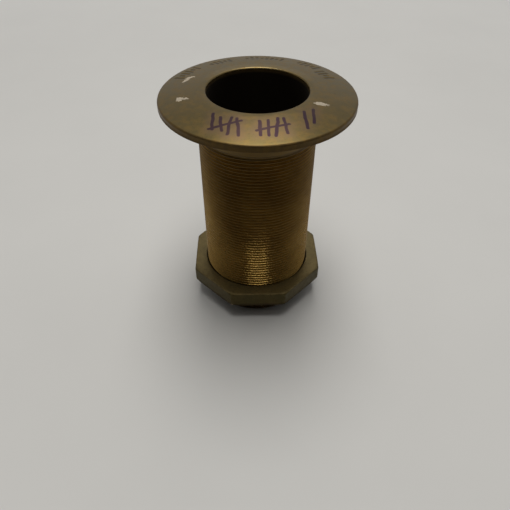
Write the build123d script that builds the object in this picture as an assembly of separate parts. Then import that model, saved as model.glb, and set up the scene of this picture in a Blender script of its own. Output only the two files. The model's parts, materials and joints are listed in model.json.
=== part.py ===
from build123d import *
import math
import os

# Thru hull fitting: a flanged pipe body with a long G 2 1/2 thread, and the back nut that
# clamps a boat's hull between itself and the flange. Sizes are in millimetres. The fitting
# stands on its tail: Z = 0 is the tail's end face, +Z runs along the bore to the flange.

# Thread: G 2 1/2, parallel pipe thread, 11 per inch, 55 degree form
THREAD_PITCH = 25.4 / 11
THREAD_MAJOR_R = 75.184 / 2
THREAD_DEPTH = 0.640327 * THREAD_PITCH
THREAD_FLAT = THREAD_PITCH / 6
THREAD_TOP_Z = 133.0
THREAD_START_TURN = 37.0
TURNS_BELOW_TAIL = 1.3
TURNS_PER_CUT = 10

# Flanged body
BODY_HEIGHT = 157.7
BORE_R = 31.0
LIP_ROUND = 1.0
LIP_FLAT = 3.6
FLANGE_R = 60.0
RIM_THICKNESS = 4.2
RIM_TOP_ROUND = 1.4
RIM_BOTTOM_ROUND = 0.5
DOME_RISE = 3.5
DOME_CROWN = 0.35
NECK_FILLET = 1.5
TAIL_CHAMFER = 1.6
TAIL_BORE_CHAMFER = 0.8
TAIL_STUB = 6.0  # spare length below the tail, so that the thread runs out through it

# Back nut
NUT_ACROSS_FLATS = 92.5
NUT_SIDES = 8
NUT_THICKNESS = 12.0
NUT_BOTTOM_Z = 15.0
NUT_TURN = 1.6
NUT_BORE_R = 37.7
NUT_COUNTERSINK = 0.7
NUT_CORNER_ROUND = 1.2
NUT_CHAMFER_R = 48.2
NUT_CHAMFER_ANGLE = 30.0

# Derived
THREAD_ROOT_R = THREAD_MAJOR_R - THREAD_DEPTH
THREAD_FLANK = (THREAD_PITCH - 2 * THREAD_FLAT) / 2
RIM_TOP_Z = BODY_HEIGHT - DOME_RISE
FLANGE_UNDERSIDE_Z = RIM_TOP_Z - RIM_THICKNESS
PAST = 0.2  # how far a cutting shape runs past the surface that it cuts


def flat_shape(points):
    """A face in the XZ plane from (radius, height) corners."""
    corners = [(radius, 0, height) for radius, height in points]
    return make_face(Polyline(*corners, close=True).edges())


def turned(points):
    """A ring turned about Z from (radius, height) corners."""
    return revolve(flat_shape(points), Axis.Z)


def body_outline():
    """Half of the body's section, with the thread not yet cut."""
    dome_start = Vector(BORE_R + LIP_FLAT, 0, BODY_HEIGHT)
    dome_end = Vector(FLANGE_R, 0, RIM_TOP_Z)
    dome_middle = (dome_start + dome_end) * 0.5 + Vector(0, 0, DOME_CROWN)
    dome = ThreePointArc(dome_start, dome_middle, dome_end)
    rest = Polyline(
        (FLANGE_R, 0, RIM_TOP_Z),
        (FLANGE_R, 0, FLANGE_UNDERSIDE_Z),
        (THREAD_MAJOR_R, 0, FLANGE_UNDERSIDE_Z),
        (THREAD_MAJOR_R, 0, -TAIL_STUB),
        (BORE_R, 0, -TAIL_STUB),
        (BORE_R, 0, BODY_HEIGHT),
        (BORE_R + LIP_FLAT, 0, BODY_HEIGHT),
    )
    return make_face([*dome.edges(), *rest.edges()])


def corner(outline, radius, height):
    """The outline's corner nearest a radius and height."""
    return outline.vertices().sort_by_distance((radius, 0, height))[0]


def body_blank():
    """The turned body before its thread is cut, with spare length at the tail."""
    outline = body_outline()
    outline = fillet(corner(outline, BORE_R, BODY_HEIGHT), LIP_ROUND)
    outline = fillet(corner(outline, FLANGE_R, RIM_TOP_Z), RIM_TOP_ROUND)
    outline = fillet(corner(outline, FLANGE_R, FLANGE_UNDERSIDE_Z), RIM_BOTTOM_ROUND)
    outline = fillet(corner(outline, THREAD_MAJOR_R, FLANGE_UNDERSIDE_Z), NECK_FILLET)
    return revolve(outline, Axis.Z)


def thread_groove(low, high):
    """The groove between two turns, as a solid that winds from one height to another."""
    half_root = THREAD_FLAT / 2
    half_mouth = half_root + THREAD_FLANK * (1 + PAST / THREAD_DEPTH)
    section = flat_shape(
        [
            (THREAD_ROOT_R, low - half_root),
            (THREAD_MAJOR_R + PAST, low - half_mouth),
            (THREAD_MAJOR_R + PAST, low + half_mouth),
            (THREAD_ROOT_R, low + half_root),
        ]
    )
    path = Helix(THREAD_PITCH, high - low, THREAD_MAJOR_R, center=(0, 0, low))
    groove = sweep(section, path=path, is_frenet=True)
    return Rot(0, 0, THREAD_START_TURN) * groove


def tail_waste():
    """What is turned off the tail: the spare length, and a chamfer outside and in the bore."""
    beyond = 2.0
    below = -TAIL_STUB - beyond
    return turned(
        [
            (0, below),
            (THREAD_MAJOR_R + beyond, below),
            (THREAD_MAJOR_R + beyond, TAIL_CHAMFER + beyond),
            (THREAD_MAJOR_R - TAIL_CHAMFER, 0),
            (BORE_R + TAIL_BORE_CHAMFER, 0),
            (BORE_R - beyond, TAIL_BORE_CHAMFER + beyond),
            (0, TAIL_BORE_CHAMFER + beyond),
        ]
    )


def flanged_body():
    """The blank with its thread, cut in stretches of whole turns that follow on."""
    body = body_blank()
    stretch = TURNS_PER_CUT * THREAD_PITCH
    low = -TURNS_BELOW_TAIL * THREAD_PITCH
    while low < THREAD_TOP_Z:
        high = min(low + stretch, THREAD_TOP_Z)
        body = body - thread_groove(low, high)
        low = low + stretch
    return body - tail_waste()


def nut_envelope():
    """A turned disc whose 30 degree edges take off the nut's corners."""
    corner_r = NUT_ACROSS_FLATS / 2 / math.cos(math.pi / NUT_SIDES) + PAST
    drop = (corner_r - NUT_CHAMFER_R) * math.tan(math.radians(NUT_CHAMFER_ANGLE))
    return turned(
        [
            (0, 0),
            (NUT_CHAMFER_R, 0),
            (corner_r, drop),
            (corner_r, NUT_THICKNESS - drop),
            (NUT_CHAMFER_R, NUT_THICKNESS),
            (0, NUT_THICKNESS),
        ]
    )


def nut_hole():
    """The hole through the nut, with a countersink at each face."""
    mouth_r = NUT_BORE_R + NUT_COUNTERSINK + PAST
    deep = NUT_COUNTERSINK + PAST
    return turned(
        [
            (0, -PAST),
            (mouth_r, -PAST),
            (NUT_BORE_R, deep - PAST),
            (NUT_BORE_R, NUT_THICKNESS - deep + PAST),
            (mouth_r, NUT_THICKNESS + PAST),
            (0, NUT_THICKNESS + PAST),
        ]
    )


def back_nut():
    """A flat nut with eight sides, one of them square to -Y but for a small turn."""
    flat_r = NUT_ACROSS_FLATS / 2
    half_side = 180 / NUT_SIDES
    outline = RegularPolygon(flat_r, NUT_SIDES, major_radius=False, rotation=half_side)
    outline = fillet(outline.vertices(), NUT_CORNER_ROUND)
    nut = extrude(outline, NUT_THICKNESS) & nut_envelope()
    nut = nut - nut_hole()
    return Pos(0, 0, NUT_BOTTOM_Z) * Rot(0, 0, NUT_TURN) * nut


os.makedirs("parts", exist_ok=True)
export_step(flanged_body(), "parts/flanged_body.step")
export_step(back_nut(), "parts/back_nut.step")
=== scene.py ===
import json
import math

import bmesh
import bpy
from mathutils import Matrix, Vector, noise


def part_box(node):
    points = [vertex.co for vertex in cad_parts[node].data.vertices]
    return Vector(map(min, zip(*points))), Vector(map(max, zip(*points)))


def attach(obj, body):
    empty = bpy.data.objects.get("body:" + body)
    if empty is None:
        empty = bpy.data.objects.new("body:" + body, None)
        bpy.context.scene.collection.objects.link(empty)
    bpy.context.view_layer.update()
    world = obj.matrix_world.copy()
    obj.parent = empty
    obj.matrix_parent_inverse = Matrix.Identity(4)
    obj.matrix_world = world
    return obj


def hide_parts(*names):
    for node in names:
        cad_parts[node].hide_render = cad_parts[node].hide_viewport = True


# A bronze thru hull fitting: a flanged, threaded body standing on its tail, and its back nut.
# Lengths are in metres and angles in radians. The frame is the CAD's: Z = 0 is the tail's end.

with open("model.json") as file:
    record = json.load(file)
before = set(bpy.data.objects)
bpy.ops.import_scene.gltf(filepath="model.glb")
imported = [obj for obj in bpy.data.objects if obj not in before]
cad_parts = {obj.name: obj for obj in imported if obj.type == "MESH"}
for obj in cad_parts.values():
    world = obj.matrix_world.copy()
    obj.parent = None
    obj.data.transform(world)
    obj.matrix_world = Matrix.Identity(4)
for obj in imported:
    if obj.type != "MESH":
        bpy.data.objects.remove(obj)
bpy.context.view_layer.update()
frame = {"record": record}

MM = 0.001
TAU = 2 * math.pi

mounts = {mount["name"]: mount for mount in frame["record"]["mounts"]}
_, body_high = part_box("flanged_body")
nut_low, nut_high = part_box("back_nut")

# Thread: G 2 1/2, with the rounded crests and roots of the 55 degree form
MAJOR_R = mounts["tail_thread"]["dims"]["r_mm"] * MM
PITCH = 25.4 / 11 * MM
THREAD_DEPTH = 0.640327 * PITCH
THREAD_ROUND = 0.137329 * PITCH
THREAD_PLAY = 0.06 * MM  # gap between the nut's thread and the shank's, along the radius
ROUND_HALF = math.radians(62.5)  # half the arc of a crest or a root
THREAD_TOP_Z = 133.0 * MM
THREAD_START = math.radians(37.0)
TURNS_BELOW_TAIL = 1.3
RUN_OUT_TURNS = 0.6
NECK_Z = THREAD_TOP_Z + 0.6 * PITCH  # just over the last groove
COLUMNS = 128  # points round one turn
CUT_TOLERANCE = 1e-8
LEVEL_TOLERANCE = 1e-7

# Flanged body
HEIGHT = body_high.z
FLANGE_R = body_high.x
UNDERSIDE_Z = mounts["hull_seat"]["pos_m"][2]
BORE_R = mounts["waterway"]["dims"]["r_mm"] * MM
LIP_ROUND = 1.0 * MM
LIP_FLAT = 3.6 * MM
DOME_RISE = 3.5 * MM
DOME_CROWN = 0.35 * MM
RIM_TOP_ROUND = 1.4 * MM
RIM_BOTTOM_ROUND = 0.5 * MM
NECK_FILLET = 1.5 * MM
TAIL_CHAMFER = 1.6 * MM
TAIL_BORE_CHAMFER = 0.8 * MM
DOME_STEP = 1.6 * MM
BORE_RINGS = 10
NECK_RINGS = 4
UNDERSIDE_RINGS = 6
LIP_FLAT_RINGS = 2
RIM_TOP_STEPS = 6
RIM_BOTTOM_STEPS = 4
FILLET_STEPS = 5

# Generic dashes stamped in the flange, in place of the lettering there
STAMP_INNER_R = 44.0 * MM
STAMP_OUTER_R = 56.4 * MM
STAMP_STEP = 0.4 * MM
STAMP_COARSE = 4  # steps taken at once where there is no dash
STAMP_MARGIN = 3  # widths of a dash, on each side of it, that take fine steps
STAMP_DEPTH = 0.28 * MM
STAMP_SLOPE = 0.3 * MM
STAMP_WIDTH = 1.9 * MM
STAMP_SHORT = 0.55  # every third dash's length, as a share of the others'
# (from, to, number of dashes) round the flange in degrees, and (middle radius, length along it)
STAMP_GROUPS = [
    ((137, 161), 6, (52.4 * MM, 6.6 * MM)),
    ((110, 129), 5, (50.4 * MM, 7.0 * MM)),
    ((70, 100), 8, (51.0 * MM, 6.6 * MM)),
    ((41, 60), 5, (51.8 * MM, 7.0 * MM)),
    ((21, 38), 4, (48.6 * MM, 7.6 * MM)),
]

# Back nut
NUT_SIDES = 8
NUT_APOTHEM = 92.5 / 2 * MM
NUT_TURN = math.radians(1.6)
NUT_MIDDLE_Z = (nut_high.z + nut_low.z) / 2
NUT_HALF = (nut_high.z - nut_low.z) / 2
NUT_HOLE_R = 37.7 * MM
NUT_SINK_R = NUT_HOLE_R + 0.7 * MM  # the countersink's mouth
NUT_CHAMFER_R = 48.2 * MM
NUT_CHAMFER_SLOPE = math.tan(math.radians(30))
NUT_CORNER_SHARPNESS = 260
NUT_EDGE_SHARPNESS = 22
NUT_EDGE_REACH = 3.0 * MM
NUT_FACING = 0.5  # cosine past which a side counts towards the outline
NUT_TOP_RINGS = 5
NUT_WEAR_REACH = 1.6 * MM
NUT_SHOULDER_WEAR = 0.35
NUT_CAST_WAVE = 0.05 * MM
NUT_CAST_SINK = 0.6  # keeps the cast skin's waves inside the nut's outline
NUT_CAST_SCALE = 70
# Degrees from a corner round to each column of points, up to the middle of a side
NUT_COLUMNS = [0, 0.3, 0.6, 1.0, 1.6, 2.5, 4, 6, 8.2, 10.6, 13, 15.4, 17.8, 20.2]
# Degrees of each point of a column round the nut's edge, from its top face to its side
NUT_EDGE_TURNS = [90, 80, 70, 62, 56, 51, 47, 43, 39, 34, 28, 20, 10, 0]

SHARP_ANGLE = math.radians(50)
FLAT_WEIGHT = 90  # how much the large faces lead in the shading's normals
FAR = 10.0  # more than any distance that a material measures

# Colours are linear red, green and blue
SHANK_BRONZE = (0.350, 0.212, 0.050)
SHANK_PAINTED_LIGHT = (0.500, 0.310, 0.080)
SHANK_DARK = (0.240, 0.138, 0.030)
NECK_BRONZE = (0.180, 0.120, 0.045)
RIM_BROWN = (0.110, 0.070, 0.024)
BORE_SHADE = (0.014, 0.008, 0.002)
FACE_BRONZE = (0.142, 0.101, 0.036)
FACE_OLIVE = (0.123, 0.091, 0.032)
# Worn bronze, also used for the painted highlight behind the bore's lip
WEAR_AND_HIGHLIGHT_BRONZE = (0.260, 0.195, 0.095)
# Grime, and also painted shade: on the tail, the thread's upper crests, the nut's bottom and its
# hole
GRIME_AND_SHADE = (0.022, 0.013, 0.005)
FACED_BRONZE = (0.165, 0.122, 0.046)
CAST_BRONZE = (0.086, 0.064, 0.022)
CAST_GREEN = (0.074, 0.062, 0.023)
CAST_DARK = (0.060, 0.043, 0.018)
PEN_PURPLE = (0.034, 0.014, 0.027)
PEN_SMEAR = (0.150, 0.094, 0.058)
CHIP_AND_GLINT_PALE = (0.380, 0.320, 0.235)
CARD_BLACK = (0.030, 0.028, 0.026)
PALE_GREY = (0.93, 0.93, 0.92)

# Blotches: noise scale and detail, and the noise values from which and to which they fade in
BODY_CLOUDS = (38, 4, 0.30, 0.70)
BODY_SPOTS = (260, 3, 0.40, 0.66)
BODY_SPECKS = (1300, 2, 0.60, 0.74)
NUT_CLOUDS = (55, 4, 0.30, 0.70)
NUT_SPOTS = (320, 3, 0.42, 0.66)
NUT_PITS = (1100, 2, 0.58, 0.72)

# Radii and heights between which each region of the body fades in
FACE_R = (31.0 * MM, 31.15 * MM)
FACE_Z = (153.6 * MM, 154.4 * MM)
# Painted shade down the bore fades in over these radii and heights
IN_BORE_R = (33.0 * MM, 32.0 * MM)
IN_BORE_Z = (156.9 * MM, 154.0 * MM)
SHANK_R = (34.0 * MM, 35.0 * MM)
SHANK_Z = (136.0 * MM, 134.0 * MM)
NECK_FADE_Z = (THREAD_TOP_Z - 1.5 * PITCH, THREAD_TOP_Z)
# Heights where painted light lifts the shank's colour under the flange
UPPER_Z = (110.0 * MM, 130.0 * MM)
DULL_Z = (55.0 * MM, 115.0 * MM)
DULL_END_Z = (153.0 * MM, 151.0 * MM)
# Painted shade on the tail, under the nut, fades in over these heights
TAIL_Z = (15.0 * MM, 8.0 * MM)
ROOT_R = (MAJOR_R - 0.25 * MM, MAJOR_R - THREAD_DEPTH)
CREST_R = (MAJOR_R - 0.6 * MM, MAJOR_R - 0.1 * MM)
CREST_END_Z = (THREAD_TOP_Z + 1.2 * MM, THREAD_TOP_Z)
EDGE_R = (FLANGE_R - 1.3 * MM, FLANGE_R - 0.5 * MM)
RIM_R = (FLANGE_R - 1.5 * MM, FLANGE_R - 0.5 * MM)
RIM_Z = (HEIGHT - DOME_RISE - 1.6 * MM, HEIGHT - DOME_RISE - 0.6 * MM)
# A painted highlight on the face behind the lip, at the back only
LIP_R = (BORE_R + 8.0 * MM, BORE_R + 3.0 * MM)
LIP_Y = (4.0 * MM, 26.0 * MM)

# How strongly the layers of the body's colour show, from 0 to 1
UPPER_LIGHT_TINT = 0.5
SPOT_TINT = 0.28
TAIL_SHADE_TINT = 0.7
ROOT_TINT = 0.2
# Painted shade on the thread's crests under the flange
CREST_SHADE_TINT = 0.35
CREST_UPPER_SHADE_TINT = 0.25
RIM_WEAR = 0.05
LIP_HIGHLIGHT = 0.38
WEAR_AND_HIGHLIGHT_ON_SPOTS = 0.45
SPECK_TINTS = (0.12, 0.35)  # off the face and on it
STAMP_TINT = 0.6
SMUDGE_TINTS = (0.2, 0.6)  # off the clouds and on them
PEN_TINTS = (1.0, 0.8)

# Gloss and relief of the body, off the face and on it, and what each region does to them
BODY_METAL = (0.72, 0.88)
BODY_METAL_KEPT = {"chip": 0.1, "dull": 0.9, "in_bore": 0.9}
BODY_ROUGH = (0.23, 0.33)
BODY_ROUGHER = {
    "spots": 0.06, "dull": 0.22, "root": 0.15, "edge": 0.15, "chip": 0.2, "in_bore": 0.4,
}
BODY_SPECULAR = 0.3
BODY_BRUSHED = (0.6, 0.36)
BRUSHED_TURN = 0.25
TOOL_MARK_SCALE = 3200
TOOL_MARK_NOISE = (1.0, 4, 0.6)
MARK_RELIEF = (0.3e-6, 3.0e-6)
SPECK_RELIEF = (-0.1e-6, -9.0e-6)
CHIP_RELIEF = -60.0e-6

# The nut's finish, with shade and a glint painted on it
FACED_FROM_MIDDLE = (NUT_HALF - 0.9 * MM, NUT_HALF - 0.2 * MM)  # where its turned faces begin
FACED_TINTS = (0.7, 1.0)
NUT_SPOT_TINT = 0.2
RUBBED_TINTS = (0.14, 0.02)
PIT_TINT = 0.5
# Painted shade along the nut's bottom, where it meets the floor
LOW_Z = (nut_low.z + 3.0 * MM, nut_low.z + 0.5 * MM)
LOW_SHADE_TINT = 0.7
# Painted shade in the nut's hole, in the gap round the shank
IN_HOLE_R = (NUT_SINK_R + 0.35 * MM, NUT_SINK_R - 0.05 * MM)
IN_HOLE_SHADE_TINT = 0.85
GLINT_AT = (-17.6 * MM, -46.6 * MM, 16.2 * MM)  # a painted glint at a lower corner
GLINT_FADE = (1.1 * MM, 0.66 * MM)
GLINT_TINT = 0.7
NUT_METAL = (0.86, 0.5)
NUT_SPECULAR = 0.2
NUT_ROUGH = (0.44, 0.52)
FACED_SMOOTHER = -0.06
EDGE_ROUGHER = 0.15
SWELL_NOISE = (700, 4, 0.65)
SWELL_RELIEF = 60.0e-6
PIT_RELIEF = -25.0e-6

# Chips in the face's patina: x, y, half length, half width (metres) and turn (degrees)
CHIPS = [
    (-45.1 * MM, -11.9 * MM, 2.2 * MM, 2.9 * MM, 0),
    (-42.8 * MM, -12.2 * MM, 3.0 * MM, 1.2 * MM, 0),
    (36.2 * MM, -18.6 * MM, 4.2 * MM, 1.9 * MM, -6),
    (-44.0 * MM, 14.4 * MM, 4.4 * MM, 1.4 * MM, 62),
    (-41.8 * MM, 18.0 * MM, 2.8 * MM, 1.1 * MM, 12),
]
CHIP_NOISE = (800, 4)
CHIP_RAGGED = 2.0
CHIP_FADE = (2.0, 1.85)

# Tally marks in purple felt pen, in place of the handwriting there
PEN_HALF_WIDTH = 0.95 * MM
PEN_FADE = (PEN_HALF_WIDTH * 1.2, PEN_HALF_WIDTH * 0.75)
PEN_SMUDGE = 7.0 * MM
PEN_GROUPS = [(-23.5 * MM, 4), (2.0 * MM, 4), (27.0 * MM, 2)]  # first stroke's x, and how many
PEN_SPACING = 4.6 * MM
PEN_ARC_R = 44.5 * MM
PEN_HALF_LENGTH = 7.0 * MM
PEN_LEAN = 0.8 * MM
PEN_LEAN_WAVE = 50 / MM  # turns a stroke's x into its own lean
PEN_UNEVEN = 0.12
PEN_UNEVEN_WAVE = 31 / MM  # turns a stroke's x into its own length
PEN_FULL_GROUP = 4
PEN_STRIKE = Vector((PEN_SPACING * 1.9, PEN_HALF_LENGTH * 0.45, 0))
PEN_WOBBLE = 1.4 * MM
PEN_WOBBLE_NOISE = {"Scale": 160, "Detail": 1}

# Camera: it looks down at the fitting from the front
CAMERA_AT = Vector((0, -279.9, 284.2)) * MM
CAMERA_DOWN = math.radians(43.145)
CAMERA_RIGHT = math.radians(-0.242)
CAMERA_ROLL = math.radians(0.23)
CAMERA_LENS = 34.49
SENSOR_WIDTH = 36

# Floor, card and world
FLOOR_REACH = 8.0
FLOOR_TONES = (0.60, 0.64)
FLOOR_NOISE = (9, 3)
FLOOR_GREEN = 0.985  # of the red
FLOOR_BLUE = 0.945
FLOOR_ROUGH = 0.75
FLOOR_GLOW = 0.40
FLOOR_GLOW_FROM = (0.4, 2.3)
CARD_HALF_WIDTH = 0.4
CARD_Y = -0.265
CARD_HEIGHT = 0.22
CARD_ROUGH = 0.9
WORLD_TONES = (0.05, 0.50)  # in front and behind
WORLD_FADE_Y = (-0.4, 0.55)
WORLD_SEEN = 0.60

# Lights: name, place, target, size, watts and colour
LIGHTS = [
    ("long_panel", (0.02, 0.22, 1.90), (0.02, 0, 0), (0.76, 1.70), 24.5, (1, 0.99, 0.97)),
    ("back_panel", (0.13, 1.20, 1.46), (0, 0, 0.15), (0.42, 0.42), 0.8, (1, 0.95, 0.88)),
    ("front_strip", (0.02, -0.86, 1.70), (0.02, 0, 0), (0.60, 0.34), 0.6, (1, 0.97, 0.93)),
]


def smooth(share):
    share = min(max(share, 0.0), 1.0)
    return share * share * (3 - 2 * share)


def arc(middle_r, middle_z, radius, start, end, steps):
    """(radius, height) points round an arc, from one angle to another in degrees."""
    points = []
    for step in range(steps + 1):
        angle = math.radians(start + (end - start) * step / steps)
        points.append((middle_r + radius * math.cos(angle), middle_z + radius * math.sin(angle)))
    return points


def line(start, end, steps):
    """(radius, height) points along a line, without its last one."""
    return [tuple(a + (b - a) * step / steps for a, b in zip(start, end)) for step in range(steps)]


def azimuth(vert):
    """Where a vertex lies round Z, from 0 to a full turn."""
    return round(math.atan2(vert.co.y, vert.co.x), 9) % TAU


def even_angles(count):
    return [TAU * i / count for i in range(count)]


def add_vert(bm, radius, angle, height):
    return bm.verts.new((radius * math.cos(angle), radius * math.sin(angle), height))


def add_ring(bm, radius, height, angles):
    return [add_vert(bm, radius, angle, height) for angle in angles]


def join_rings(bm, lower, upper):
    """Faces between two rings of vertices, each in order round Z from azimuth 0."""
    if len(lower) == len(upper):
        for i in range(len(lower)):
            j = (i + 1) % len(lower)
            bm.faces.new((lower[i], lower[j], upper[j], upper[i]))
        return
    low_angles = [azimuth(v) for v in lower] + [TAU + azimuth(lower[0])]
    up_angles = [azimuth(v) for v in upper] + [TAU + azimuth(upper[0])]
    i = j = 0
    while i < len(lower) or j < len(upper):
        here, there = lower[i % len(lower)], upper[j % len(upper)]
        if j == len(upper) or (i < len(lower) and low_angles[i + 1] <= up_angles[j + 1]):
            i += 1
            bm.faces.new((here, lower[i % len(lower)], there))
        else:
            j += 1
            bm.faces.new((here, upper[j % len(upper)], there))


def join_all(bm, rings):
    for lower, upper in zip(rings, rings[1:]):
        join_rings(bm, lower, upper)


def thread_form():
    """(height over the middle of the groove, depth below the crest) of the points of one pitch."""
    root, crest = [], []
    for share in (-1, -1 / 3, 1 / 3, 1):
        angle = ROUND_HALF * share
        along = THREAD_ROUND * math.sin(angle)
        sag = THREAD_ROUND * (1 - math.cos(angle))
        root.append((along, THREAD_DEPTH - sag))
        crest.append((PITCH / 2 + along, sag))
    return root + crest


def shank_radius(height, offset, drop):
    """The shank's radius at a point of its thread: run out at the neck, chamfered at the tail."""
    groove_z = height - offset + (PITCH if offset > PITCH / 2 else 0)
    depth = drop * smooth((THREAD_TOP_Z - groove_z) / (RUN_OUT_TURNS * PITCH))
    return min(MAJOR_R - depth, MAJOR_R - TAIL_CHAMFER + height)


def nut_radius(height, offset, drop):
    """The nut's radius at a point of its internal thread, countersunk at each face."""
    from_face = min(nut_high.z - height, height - nut_low.z)
    return max(MAJOR_R - drop + THREAD_PLAY, NUT_SINK_R - from_face)


def thread_grid(bm, low, high, radius_at):
    """A thread's surface from below one height to above another, in columns that wind on."""
    first_z = -(TURNS_BELOW_TAIL + THREAD_START / TAU) * PITCH
    first_z += PITCH * math.floor((low - first_z) / PITCH - 1)
    turns = math.ceil((high - first_z) / PITCH) + 2
    form = thread_form()
    columns = []
    for i, angle in enumerate(even_angles(COLUMNS)):
        column = []
        for turn in range(turns):
            for offset, drop in form:
                height = first_z + (turn + i / COLUMNS) * PITCH + offset
                column.append(add_vert(bm, radius_at(height, offset, drop), angle, height))
        columns.append(column)
    for i, column in enumerate(columns):
        shift = len(form) if i == COLUMNS - 1 else 0
        beside = columns[(i + 1) % COLUMNS][shift:]
        for j in range(len(column) - 1 - shift):
            bm.faces.new((column[j], beside[j], beside[j + 1], column[j + 1]))


def cut_level(bm, height, keep_above, radius):
    """Cuts the mesh off at a height, and gives the ring of vertices there, set to a radius."""
    everything = bm.verts[:] + bm.edges[:] + bm.faces[:]
    bmesh.ops.bisect_plane(
        bm, geom=everything, dist=CUT_TOLERANCE, plane_co=(0, 0, height), plane_no=(0, 0, 1),
        clear_inner=keep_above, clear_outer=not keep_above,
    )
    ring = [v for v in bm.verts if abs(v.co.z - height) < LEVEL_TOLERANCE]
    for vert in ring:
        around = Vector((vert.co.x, vert.co.y)).normalized() * radius
        vert.co = (around.x, around.y, height)
    return sorted(ring, key=azimuth)


def dome_circle():
    """The circle of the flange's top face: its middle's radius and height, and its own radius."""
    inner = Vector((BORE_R + LIP_FLAT, HEIGHT))
    outer = Vector((FLANGE_R, HEIGHT - DOME_RISE))
    chord = outer - inner
    radius = (chord.length_squared / 4 + DOME_CROWN**2) / (2 * DOME_CROWN)
    down = Vector((chord.y, -chord.x)).normalized()
    middle = (inner + outer) / 2 + down * (radius - DOME_CROWN)
    return middle.x, middle.y, radius


def dome_height(radius):
    middle_r, middle_z, circle_r = dome_circle()
    return middle_z + math.sqrt(circle_r**2 - (radius - middle_r) ** 2)


def rim_round():
    """The rim's upper round, which meets the side and the domed face."""
    middle_r, middle_z, circle_r = dome_circle()
    round_r = FLANGE_R - RIM_TOP_ROUND
    round_z = middle_z + math.sqrt((circle_r - RIM_TOP_ROUND) ** 2 - (round_r - middle_r) ** 2)
    end = math.degrees(math.atan2(round_z - middle_z, round_r - middle_r))
    return arc(round_r, round_z, RIM_TOP_ROUND, 0, end, RIM_TOP_STEPS)


def stamp_dashes():
    """(azimuth, radius, half length, half width) of every dash."""
    dashes = []
    for (first, last), count, (radius, length) in STAMP_GROUPS:
        for i in range(count):
            angle = math.radians(first + (last - first) * (i + 0.5) / count)
            shorter = STAMP_SHORT if i % 3 == 1 else 1.0
            dashes.append((angle, radius, length / 2 * shorter, STAMP_WIDTH / 2))
    return dashes


def stamp_share(dashes, angle, radius):
    """From 0 to 1, how deep a point of the flange lies in a dash."""
    deepest = 0.0
    for dash_angle, dash_r, half_length, half_width in dashes:
        across = abs((angle - dash_angle + math.pi) % TAU - math.pi) * dash_r
        along = abs(radius - dash_r)
        outside = max(across - half_width, along - half_length)
        deepest = max(deepest, smooth(-outside / STAMP_SLOPE + 0.5))
    return deepest


def stamp_angles(dashes):
    """Azimuths that are close together across the dashes and even elsewhere."""
    fine = STAMP_STEP / ((STAMP_INNER_R + STAMP_OUTER_R) / 2)
    margin = STAMP_MARGIN * STAMP_WIDTH / STAMP_INNER_R
    angles, angle = [], 0.0
    while angle < TAU - fine / 2:
        angles.append(angle)
        near = any(abs(angle + fine - dash[0]) < margin for dash in dashes)
        angle += fine if near else fine * STAMP_COARSE
    return angles


def stamped_rings(bm):
    """The stretch of the domed face that holds the stamped dashes, from its rim side inward."""
    dashes = stamp_dashes()
    angles = stamp_angles(dashes)
    stamp = bm.verts.layers.float["stamp"]
    rows = round((STAMP_OUTER_R - STAMP_INNER_R) / STAMP_STEP)
    rings = []
    for row in range(rows + 1):
        radius = STAMP_OUTER_R + (STAMP_INNER_R - STAMP_OUTER_R) * row / rows
        ring = add_ring(bm, radius, dome_height(radius), angles)
        for vert, angle in zip(ring, angles):
            vert[stamp] = stamp_share(dashes, angle, radius)
            vert.co.z -= STAMP_DEPTH * vert[stamp]
        rings.append(ring)
    return rings


def dome_stretch(outer, inner):
    """(radius, height) points of the domed face from one radius in to another."""
    steps = max(1, round((outer - inner) / DOME_STEP))
    radii = [outer + (inner - outer) * step / steps for step in range(steps + 1)]
    return [(radius, dome_height(radius)) for radius in radii]


def flange_outline():
    """(radius, height) points from the thread's end round the rim, up to the stamped stretch."""
    neck_top = UNDERSIDE_Z - NECK_FILLET
    fillet_r = MAJOR_R + NECK_FILLET
    rim_r = FLANGE_R - RIM_BOTTOM_ROUND
    points = line((MAJOR_R, THREAD_TOP_Z + PITCH), (MAJOR_R, neck_top), NECK_RINGS)
    points += arc(fillet_r, neck_top, NECK_FILLET, 180, 90, FILLET_STEPS)[:-1]
    points += line((fillet_r, UNDERSIDE_Z), (rim_r, UNDERSIDE_Z), UNDERSIDE_RINGS)
    rim_z = UNDERSIDE_Z + RIM_BOTTOM_ROUND
    points += arc(rim_r, rim_z, RIM_BOTTOM_ROUND, -90, 0, RIM_BOTTOM_STEPS)
    points += rim_round()
    return points + dome_stretch(points[-1][0], STAMP_OUTER_R + DOME_STEP)[1:]


def bore_outline():
    """(radius, height) points from the stamped stretch over the lip and down the bore."""
    lip_r = BORE_R + LIP_ROUND
    lip_z = HEIGHT - LIP_ROUND
    points = dome_stretch(STAMP_INNER_R - DOME_STEP, BORE_R + LIP_FLAT)
    points += line((BORE_R + LIP_FLAT, HEIGHT), (lip_r, HEIGHT), LIP_FLAT_RINGS)[1:]
    points += arc(lip_r, lip_z, LIP_ROUND, 90, 180, FILLET_STEPS)[:-1]
    points += line((BORE_R, lip_z), (BORE_R, TAIL_BORE_CHAMFER), BORE_RINGS)
    return points + [(BORE_R, TAIL_BORE_CHAMFER), (BORE_R + TAIL_BORE_CHAMFER, 0)]


def body_mesh(bm):
    """The flanged body: thread, neck, underside, rim, domed face, lip and bore, in that order."""
    bm.verts.layers.float.new("stamp")
    thread_grid(bm, 0, NECK_Z, shank_radius)
    neck_ring = cut_level(bm, NECK_Z, False, MAJOR_R)
    tail_ring = cut_level(bm, 0, True, MAJOR_R - TAIL_CHAMFER)
    angles = even_angles(COLUMNS)
    rings = [neck_ring]
    rings += [add_ring(bm, radius, height, angles) for radius, height in flange_outline()]
    rings += stamped_rings(bm)
    rings += [add_ring(bm, radius, height, angles) for radius, height in bore_outline()]
    join_all(bm, rings + [tail_ring])


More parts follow.
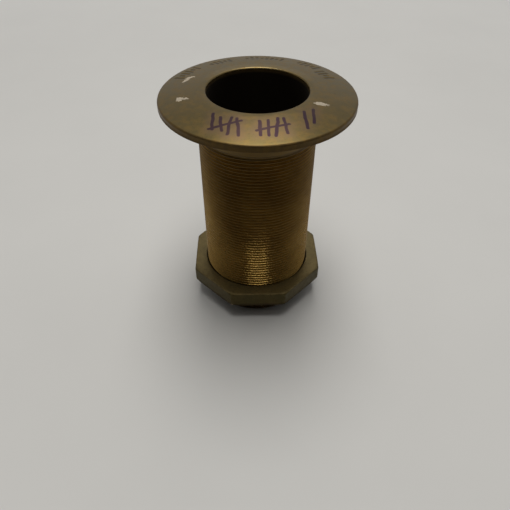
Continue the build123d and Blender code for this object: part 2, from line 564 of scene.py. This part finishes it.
def octagon_radius(angle):
    """How far the nut's outline is from its axis, with slightly rounded corners."""
    total = 0.0
    for side in range(NUT_SIDES):
        cosine = math.cos(angle - NUT_TURN - side * TAU / NUT_SIDES)
        if cosine > NUT_FACING:
            total += cosine**NUT_CORNER_SHARPNESS
    return NUT_APOTHEM * total ** (-1 / NUT_CORNER_SHARPNESS)


def nut_angles():
    """Azimuths of the nut's columns, closest together at its corners."""
    half = math.degrees(math.pi / NUT_SIDES)
    angles = []
    for side in range(NUT_SIDES):
        corner = math.degrees(NUT_TURN + side * TAU / NUT_SIDES + math.pi / NUT_SIDES)
        angles += [corner + step for step in NUT_COLUMNS]
        angles += [corner + 2 * half - step for step in [half] + NUT_COLUMNS[:0:-1]]
    return sorted(math.radians(angle) % TAU for angle in angles)


def nut_edge(outer_r):
    """(radius, height over the nut's middle) from its top face, over the chamfer, to its side."""
    pivot_r, pivot_z = outer_r - NUT_EDGE_REACH, NUT_HALF - NUT_EDGE_REACH
    room = NUT_CHAMFER_R - pivot_r + NUT_EDGE_REACH / NUT_CHAMFER_SLOPE
    points = []
    for degrees in NUT_EDGE_TURNS:
        angle = math.radians(degrees)
        run, rise = math.cos(angle), math.sin(angle)
        slant = (run + rise / NUT_CHAMFER_SLOPE) / room
        faces = (rise / NUT_EDGE_REACH, run / NUT_EDGE_REACH, slant)
        total = sum(face**NUT_EDGE_SHARPNESS for face in faces if face > 0)
        reach = total ** (-1 / NUT_EDGE_SHARPNESS)
        points.append((pivot_r + run * reach, pivot_z + rise * reach))
    return points


def nut_column(outer_r):
    """The nut's section at one azimuth, from its top face's inside round to its bottom's."""
    edge = nut_edge(outer_r)
    upper = line((NUT_SINK_R, NUT_HALF), edge[0], NUT_TOP_RINGS)[1:] + edge
    upper.append((upper[-1][0], NUT_HALF / 4))
    lower = [(radius, -height) for radius, height in upper[::-1]]
    return [(radius, NUT_MIDDLE_Z + height) for radius, height in upper + lower]


def nut_wear(angle, radius, height, outer_r):
    """From 0 to 1, how close a point of the nut is to an edge that is rubbed."""
    step = TAU / NUT_SIDES
    from_corner = abs((angle - NUT_TURN + step) % step - step / 2) * outer_r
    corner = 1 - smooth(from_corner / NUT_WEAR_REACH)
    past_r = radius - (outer_r - NUT_WEAR_REACH)
    past_z = abs(height) - (NUT_HALF - NUT_WEAR_REACH)
    inside = max(past_r, 0) * max(past_z, 0)
    shoulder = smooth(inside / (NUT_SHOULDER_WEAR * NUT_WEAR_REACH**2))
    return max(corner * smooth(past_r / NUT_WEAR_REACH), shoulder)


def cast_wave(radius, angle, height):
    """How far the cast skin strays along the radius at a point of the nut."""
    place = Vector((radius * math.cos(angle), radius * math.sin(angle), height))
    return NUT_CAST_WAVE * (noise.noise(place * NUT_CAST_SCALE) - NUT_CAST_SINK)


def nut_mesh(bm):
    """The back nut: its internal thread, then rings from its top face's inside to its bottom's."""
    edge = bm.verts.layers.float.new("edge")
    thread_grid(bm, nut_low.z, nut_high.z, nut_radius)
    top_ring = cut_level(bm, nut_high.z, False, NUT_SINK_R)
    bottom_ring = cut_level(bm, nut_low.z, True, NUT_SINK_R)
    columns = []
    for angle in nut_angles():
        outer_r = octagon_radius(angle)
        column = []
        for radius, height in nut_column(outer_r):
            vert = add_vert(bm, radius + cast_wave(radius, angle, height), angle, height)
            vert[edge] = nut_wear(angle, radius, height - NUT_MIDDLE_Z, outer_r)
            column.append(vert)
        columns.append(column)
    join_all(bm, [top_ring, *zip(*columns), bottom_ring])


def link(made):
    bpy.context.scene.collection.objects.link(made)


def piece(name, build, body, node, material):
    """A mesh piece that stands for a CAD node."""
    bm = bmesh.new()
    build(bm)
    bmesh.ops.recalc_face_normals(bm, faces=bm.faces[:])
    for face in bm.faces:
        face.smooth = True
    mesh = bpy.data.meshes.new(name)
    bm.to_mesh(mesh)
    bm.free()
    mesh.set_sharp_from_angle(angle=SHARP_ANGLE)
    mesh.materials.append(material)
    made = bpy.data.objects.new(name, mesh)
    link(made)
    normals = made.modifiers.new("flat_faces_lead", "WEIGHTED_NORMAL")
    normals.weight = FLAT_WEIGHT
    normals.keep_sharp = True
    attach(made, body)
    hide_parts(node)


def add(tree, kind, inputs=None, **settings):
    """Adds a shader node, with its inputs set or linked by name or place."""
    made = tree.nodes.new("ShaderNode" + kind)
    for setting, value in settings.items():
        setattr(made, setting, value)
    for name, value in (inputs or {}).items():
        if isinstance(value, bpy.types.NodeSocket):
            tree.links.new(value, made.inputs[name])
        else:
            made.inputs[name].default_value = value
    return made


def calc(tree, operation, *values):
    return add(tree, "Math", dict(enumerate(values)), operation=operation).outputs[0]


def times(tree, product, *factors):
    for factor in factors:
        product = calc(tree, "MULTIPLY", product, factor)
    return product


def span(tree, value, low, high):
    """From 0 at low to 1 at high, eased."""
    inputs = {"Value": value, "From Min": low, "From Max": high}
    return add(tree, "MapRange", inputs, interpolation_type="SMOOTHSTEP").outputs[0]


def between(tree, share, low, high):
    """A number from low to high, by a share from 0 to 1."""
    return calc(tree, "MULTIPLY_ADD", share, high - low, low)


def grain(tree, place, scale, detail=3.0, roughness=0.55):
    inputs = {"Vector": place, "Scale": scale, "Detail": detail, "Roughness": roughness}
    return add(tree, "TexNoise", inputs).outputs[0]


def blotches(tree, place, scale, detail, low, high):
    return span(tree, grain(tree, place, scale, detail), low, high)


def blend(tree, share, first, second):
    """One colour turning into another, by a share from 0 to 1."""
    inputs = {0: share}
    for name, value in ((6, first), (7, second)):
        inputs[name] = value if isinstance(value, bpy.types.NodeSocket) else (*value, 1)
    return add(tree, "Mix", inputs, data_type="RGBA").outputs[2]


def layered(tree, colour, layers):
    """A colour with others laid over it in turn, each by its share."""
    for share, laid in layers:
        colour = blend(tree, share, colour, laid)
    return colour


def vector_op(tree, operation, *values):
    return add(tree, "VectorMath", dict(enumerate(values)), operation=operation)


def flat_place(tree, place):
    return vector_op(tree, "MULTIPLY", place, (1, 1, 0)).outputs[0]


def axis_distance(tree, place):
    return vector_op(tree, "LENGTH", flat_place(tree, place)).outputs["Value"]


def segment_distance(tree, place, start, end):
    """How far each point is from a line between two points, seen along Z."""
    reach = Vector(end) - Vector(start)
    away = vector_op(tree, "SUBTRACT", place, start).outputs[0]
    along = vector_op(tree, "DOT_PRODUCT", away, reach / reach.length_squared).outputs["Value"]
    share = add(tree, "Clamp", {0: along}).outputs[0]
    nearest = add(tree, "VectorMath", {0: reach, "Scale": share}, operation="SCALE").outputs[0]
    return vector_op(tree, "DISTANCE", away, nearest).outputs["Value"]


def pen_arc_point(x):
    """The middle of a pen stroke, on a circle round the bore's axis."""
    return Vector((x, -math.sqrt(PEN_ARC_R**2 - x**2), 0))


def pen_strokes():
    """Groups of upright strokes that follow the rim's curve, each group of four struck through."""
    strokes = []
    for first_x, count in PEN_GROUPS:
        for i in range(count):
            x = first_x + i * PEN_SPACING
            lean = PEN_LEAN * math.sin(PEN_LEAN_WAVE * x)
            length = PEN_HALF_LENGTH * (1 + PEN_UNEVEN * math.sin(PEN_UNEVEN_WAVE * x))
            half = Vector((lean, length, 0))
            strokes.append((pen_arc_point(x) - half, pen_arc_point(x) + half))
        if count == PEN_FULL_GROUP:
            middle = pen_arc_point(first_x + (count - 1) / 2 * PEN_SPACING)
            strokes.append((middle - PEN_STRIKE, middle + PEN_STRIKE))
    return strokes


def pen_masks(tree, place):
    """1 where the felt pen has marked the flange's face, and how near its ink is smudged."""
    wobble = add(tree, "TexNoise", {"Vector": place, **PEN_WOBBLE_NOISE}).outputs["Color"]
    moved = vector_op(tree, "MULTIPLY_ADD", wobble, (PEN_WOBBLE,) * 3, place).outputs[0]
    flat = flat_place(tree, moved)
    nearest = FAR
    for start, end in pen_strokes():
        nearest = calc(tree, "MINIMUM", nearest, segment_distance(tree, flat, start, end))
    return span(tree, nearest, *PEN_FADE), span(tree, nearest, PEN_SMUDGE, PEN_HALF_WIDTH)


def chip_mask(tree, place):
    """1 where the face's patina has chipped to a pale fleck."""
    flat = flat_place(tree, place)
    nearest = FAR
    for x, y, half_length, half_width, turn in CHIPS:
        inputs = {
            "Vector": flat, "Location": (x, y, 0), "Rotation": (0, 0, math.radians(turn)),
            "Scale": (half_length, half_width, 1),
        }
        inside = add(tree, "Mapping", inputs, vector_type="TEXTURE").outputs[0]
        reach = vector_op(tree, "LENGTH", inside).outputs["Value"]
        nearest = calc(tree, "MINIMUM", nearest, reach)
    ragged = grain(tree, place, *CHIP_NOISE)
    torn = calc(tree, "MULTIPLY_ADD", ragged, CHIP_RAGGED, nearest)
    return span(tree, torn, *CHIP_FADE)


def new_material(name):
    material = bpy.data.materials.new(name)
    material.use_nodes = True
    return material, material.node_tree, material.node_tree.nodes["Principled BSDF"]


def set_relief(tree, shader, relief):
    bump = add(tree, "Bump", {"Height": relief, "Strength": 1.0, "Distance": 1.0})
    tree.links.new(bump.outputs[0], shader.inputs["Normal"])


def tool_marks(tree, place):
    """Noise that runs round the axis: it changes along the radius and the height, not round it."""
    around = vector_op(tree, "NORMALIZE", flat_place(tree, place)).outputs[0]
    around = add(tree, "SeparateXYZ", {0: around})
    height = add(tree, "SeparateXYZ", {0: place}).outputs["Z"]
    travel = times(tree, calc(tree, "ADD", axis_distance(tree, place), height), TOOL_MARK_SCALE)
    inputs = {0: around.outputs[0], 1: around.outputs[1], 2: travel}
    track = add(tree, "CombineXYZ", inputs).outputs[0]
    return grain(tree, track, *TOOL_MARK_NOISE)


def body_masks(tree, place):
    """Shares from 0 to 1 of the body's regions, blotches and marks."""
    axes = add(tree, "SeparateXYZ", {0: place})
    height, radius = axes.outputs["Z"], axis_distance(tree, place)
    on_face = times(tree, span(tree, height, *FACE_Z), span(tree, radius, *FACE_R))
    in_shank = times(tree, span(tree, radius, *SHANK_R), span(tree, height, *SHANK_Z))
    at_back = span(tree, axes.outputs["Y"], *LIP_Y)
    return {
        "clouds": blotches(tree, place, *BODY_CLOUDS),
        "spots": blotches(tree, place, *BODY_SPOTS),
        "specks": blotches(tree, place, *BODY_SPECKS),
        "on_face": on_face,
        "in_bore": times(tree, span(tree, radius, *IN_BORE_R), span(tree, height, *IN_BORE_Z)),
        "above_thread": span(tree, height, *NECK_FADE_Z),
        "upper": span(tree, height, *UPPER_Z),
        "dull": times(tree, span(tree, height, *DULL_Z), span(tree, height, *DULL_END_Z)),
        "tail": span(tree, height, *TAIL_Z),
        "root": times(tree, span(tree, radius, *ROOT_R), in_shank),
        "crest": times(tree, span(tree, radius, *CREST_R), in_shank),
        "threaded": span(tree, height, *CREST_END_Z),
        "edge": span(tree, radius, *EDGE_R),
        "rim": times(tree, span(tree, radius, *RIM_R), span(tree, height, *RIM_Z)),
        "lip": times(tree, span(tree, radius, *LIP_R), on_face, at_back),
        "chip": times(tree, chip_mask(tree, place), on_face),
    }


def body_colour(tree, place, masks):
    """Bronze, greyer on the face and browner at the rim, with grime, wear, pen marks and chips, and
    with painted light and shade: a lighter shank and darker crests under the flange, shade in the
    bore and on the tail, and a highlight behind the lip.
    """
    clouds, spots, on_face = masks["clouds"], masks["spots"], masks["on_face"]
    shank = blend(tree, clouds, SHANK_DARK, SHANK_BRONZE)
    # Painted light: under the flange the shank's colour is lifted towards a brighter bronze
    shank = blend(tree, times(tree, masks["upper"], UPPER_LIGHT_TINT), shank, SHANK_PAINTED_LIGHT)
    face = blend(tree, clouds, FACE_OLIVE, FACE_BRONZE)

    # The thread's roots hold grime low down, and high up, under the flange, its crests are painted
    # darker as shade
    root_grime = times(tree, masks["root"], between(tree, masks["dull"], ROOT_TINT, 0.0))
    crest_shade = times(tree, masks["dull"], CREST_SHADE_TINT)
    crest_shade = calc(tree, "MULTIPLY_ADD", masks["upper"], CREST_UPPER_SHADE_TINT, crest_shade)
    crest_painted_shade = times(tree, masks["crest"], crest_shade, masks["threaded"])

    # The rim's wear, and a painted highlight on the face behind the lip, both fainter on the spots
    rim_wear = times(tree, masks["rim"], RIM_WEAR)
    wear_and_highlight = calc(tree, "MULTIPLY_ADD", masks["lip"], LIP_HIGHLIGHT, rim_wear)
    wear_and_highlight = times(tree, wear_and_highlight, between(tree, spots, 1.0, WEAR_AND_HIGHLIGHT_ON_SPOTS))
    stamped = add(tree, "Attribute", attribute_name="stamp").outputs["Fac"]
    pen, smudge = pen_masks(tree, place)
    return layered(tree, shank, [
        (masks["above_thread"], NECK_BRONZE),
        (on_face, face),
        (masks["edge"], RIM_BROWN),
        (times(tree, spots, SPOT_TINT), SHANK_DARK),
        # painted shade down the bore
        (masks["in_bore"], BORE_SHADE),
        # painted shade on the tail, under the nut
        (times(tree, masks["tail"], TAIL_SHADE_TINT), GRIME_AND_SHADE),
        (root_grime, GRIME_AND_SHADE),
        (crest_painted_shade, GRIME_AND_SHADE),
        (wear_and_highlight, WEAR_AND_HIGHLIGHT_BRONZE),
        (times(tree, masks["specks"], between(tree, on_face, *SPECK_TINTS)), GRIME_AND_SHADE),
        (times(tree, stamped, STAMP_TINT), GRIME_AND_SHADE),
        (times(tree, smudge, on_face, between(tree, clouds, *SMUDGE_TINTS)), PEN_SMEAR),
        (times(tree, pen, on_face, between(tree, clouds, *PEN_TINTS)), PEN_PURPLE),
        (masks["chip"], CHIP_AND_GLINT_PALE),
    ])


def turned_bronze():
    """Dulled bronze turned on a lathe: its reflections are drawn out along the tool's marks."""
    material, tree, shader = new_material("turned_bronze")
    place = add(tree, "TexCoord").outputs["Object"]
    masks = body_masks(tree, place)
    on_face = masks["on_face"]
    tree.links.new(body_colour(tree, place, masks), shader.inputs["Base Color"])

    metal = between(tree, on_face, *BODY_METAL)
    for name, kept in BODY_METAL_KEPT.items():
        metal = times(tree, metal, between(tree, masks[name], 1.0, kept))
    tree.links.new(metal, shader.inputs["Metallic"])
    rough = between(tree, on_face, *BODY_ROUGH)
    for name, more in BODY_ROUGHER.items():
        rough = calc(tree, "MULTIPLY_ADD", masks[name], more, rough)
    tree.links.new(rough, shader.inputs["Roughness"])
    shader.inputs["Specular IOR Level"].default_value = BODY_SPECULAR

    tree.links.new(between(tree, on_face, *BODY_BRUSHED), shader.inputs["Anisotropic"])
    shader.inputs["Anisotropic Rotation"].default_value = BRUSHED_TURN
    tangent = add(tree, "Tangent", direction_type="RADIAL", axis="Z")
    tree.links.new(tangent.outputs[0], shader.inputs["Tangent"])

    relief = times(tree, tool_marks(tree, place), between(tree, on_face, *MARK_RELIEF))
    speck_relief = between(tree, on_face, *SPECK_RELIEF)
    relief = calc(tree, "MULTIPLY_ADD", masks["specks"], speck_relief, relief)
    relief = calc(tree, "MULTIPLY_ADD", masks["chip"], CHIP_RELIEF, relief)
    set_relief(tree, shader, relief)
    return material


def cast_bronze():
    """Cast bronze with a greenish brown skin, turned on its faces and rubbed along its edges, with
    painted shade in its hole and along its bottom, and a painted glint at one corner.
    """
    material, tree, shader = new_material("cast_bronze")
    place = add(tree, "TexCoord").outputs["Object"]
    height = add(tree, "SeparateXYZ", {0: place}).outputs["Z"]
    clouds = blotches(tree, place, *NUT_CLOUDS)
    spots = blotches(tree, place, *NUT_SPOTS)
    pits = blotches(tree, place, *NUT_PITS)
    edge = add(tree, "Attribute", attribute_name="edge").outputs["Fac"]
    from_middle = calc(tree, "ABSOLUTE", calc(tree, "SUBTRACT", height, NUT_MIDDLE_Z))
    faced = span(tree, from_middle, *FACED_FROM_MIDDLE)
    in_hole = span(tree, axis_distance(tree, place), *IN_HOLE_R)
    glint = vector_op(tree, "DISTANCE", place, GLINT_AT).outputs["Value"]

    colour = layered(tree, blend(tree, clouds, CAST_GREEN, CAST_BRONZE), [
        (times(tree, faced, between(tree, clouds, *FACED_TINTS)), FACED_BRONZE),
        (times(tree, spots, NUT_SPOT_TINT), CAST_DARK),
        (times(tree, edge, between(tree, spots, *RUBBED_TINTS)), WEAR_AND_HIGHLIGHT_BRONZE),
        (times(tree, pits, PIT_TINT), GRIME_AND_SHADE),
        # painted shade along the bottom, where the nut meets the floor
        (times(tree, span(tree, height, *LOW_Z), LOW_SHADE_TINT), GRIME_AND_SHADE),
        # painted shade in the hole, between the nut and the shank
        (times(tree, in_hole, IN_HOLE_SHADE_TINT), GRIME_AND_SHADE),
        # a painted glint at a lower corner of the front face
        (times(tree, span(tree, glint, *GLINT_FADE), GLINT_TINT), CHIP_AND_GLINT_PALE),
    ])
    tree.links.new(colour, shader.inputs["Base Color"])
    tree.links.new(between(tree, faced, *NUT_METAL), shader.inputs["Metallic"])
    shader.inputs["Specular IOR Level"].default_value = NUT_SPECULAR
    rough = calc(tree, "MULTIPLY_ADD", faced, FACED_SMOOTHER, between(tree, spots, *NUT_ROUGH))
    rough = calc(tree, "MULTIPLY_ADD", edge, EDGE_ROUGHER, rough)
    tree.links.new(rough, shader.inputs["Roughness"])
    swell = times(tree, grain(tree, place, *SWELL_NOISE), SWELL_RELIEF)
    set_relief(tree, shader, calc(tree, "MULTIPLY_ADD", pits, PIT_RELIEF, swell))
    return material


def floor_paper():
    """Pale matt paper that glows far away, in the camera's eyes only, to meet the background."""
    material, tree, shader = new_material("floor_paper")
    place = add(tree, "TexCoord").outputs["Object"]
    red = between(tree, grain(tree, place, *FLOOR_NOISE), *FLOOR_TONES)
    tones = {0: red, 1: times(tree, red, FLOOR_GREEN), 2: times(tree, red, FLOOR_BLUE)}
    tree.links.new(add(tree, "CombineColor", tones).outputs[0], shader.inputs["Base Color"])
    shader.inputs["Roughness"].default_value = FLOOR_ROUGH
    away = vector_op(tree, "LENGTH", place).outputs["Value"]
    seen = add(tree, "LightPath").outputs["Is Camera Ray"]
    glow = times(tree, span(tree, away, *FLOOR_GLOW_FROM), FLOOR_GLOW, seen)
    shader.inputs["Emission Color"].default_value = (*PALE_GREY, 1)
    tree.links.new(glow, shader.inputs["Emission Strength"])
    return material


def card_cloth():
    material, _, shader = new_material("card_cloth")
    shader.inputs["Base Color"].default_value = (*CARD_BLACK, 1)
    shader.inputs["Roughness"].default_value = CARD_ROUGH
    return material


def stage_sheet(name, corners, material):
    """A flat sheet that belongs to the studio and not to the object."""
    mesh = bpy.data.meshes.new(name)
    mesh.from_pydata(corners, [], [(0, 1, 2, 3)])
    mesh.materials.append(material)
    sheet = bpy.data.objects.new(name, mesh)
    link(sheet)
    return sheet


def make_floor():
    signs = [(-1, -1), (1, -1), (1, 1), (-1, 1)]
    corners = [(x * FLOOR_REACH, y * FLOOR_REACH, 0) for x, y in signs]
    stage_sheet("floor", corners, floor_paper())


def make_card():
    """A dark card in front, which only reflections see: it stands for whoever takes the picture."""
    corners = [
        (-CARD_HALF_WIDTH, CARD_Y, 0), (CARD_HALF_WIDTH, CARD_Y, 0),
        (CARD_HALF_WIDTH, CARD_Y, CARD_HEIGHT), (-CARD_HALF_WIDTH, CARD_Y, CARD_HEIGHT),
    ]
    card = stage_sheet("card", corners, card_cloth())
    card.visible_camera = card.visible_diffuse = card.visible_shadow = False


def make_camera():
    data = bpy.data.cameras.new("camera")
    data.lens = CAMERA_LENS
    data.sensor_width = SENSOR_WIDTH
    camera = bpy.data.objects.new("camera", data)
    turn = Matrix.Rotation(-CAMERA_RIGHT, 4, "Z")
    tilt = Matrix.Rotation(math.pi / 2 - CAMERA_DOWN, 4, "X")
    roll = Matrix.Rotation(CAMERA_ROLL, 4, "Z")
    camera.matrix_world = Matrix.Translation(CAMERA_AT) @ turn @ tilt @ roll
    link(camera)
    bpy.context.scene.camera = camera


def area_light(name, place, target, size, watts, colour):
    data = bpy.data.lights.new(name, "AREA")
    data.shape = "RECTANGLE"
    data.size, data.size_y = size
    data.energy = watts
    data.color = colour
    light = bpy.data.objects.new(name, data)
    light.location = place
    light.rotation_euler = (Vector(target) - Vector(place)).to_track_quat("-Z", "Y").to_euler()
    light.visible_camera = False
    link(light)


def make_world():
    """Soft light from behind and above, and little in front. The camera sees plain pale grey."""
    world = bpy.data.worlds.new("world")
    world.use_nodes = True
    tree = world.node_tree
    direction = add(tree, "SeparateXYZ", {0: add(tree, "TexCoord").outputs["Generated"]})
    behind = span(tree, direction.outputs["Y"], *WORLD_FADE_Y)
    seen = add(tree, "LightPath").outputs["Is Camera Ray"]
    unseen = calc(tree, "SUBTRACT", 1.0, seen)
    light = times(tree, between(tree, behind, *WORLD_TONES), unseen)
    strength = calc(tree, "MULTIPLY_ADD", seen, WORLD_SEEN, light)
    background = tree.nodes["Background"]
    background.inputs["Color"].default_value = (*PALE_GREY, 1)
    tree.links.new(strength, background.inputs["Strength"])
    bpy.context.scene.world = world


piece(
    "flanged_body_turned", body_mesh,
    "flanged_body", "flanged_body", turned_bronze(),
)
piece("back_nut_cast", nut_mesh, "back_nut", "back_nut", cast_bronze())
make_camera()
make_floor()
make_world()
make_card()
for light in LIGHTS:
    area_light(*light)
bpy.context.scene.view_settings.view_transform = "Standard"
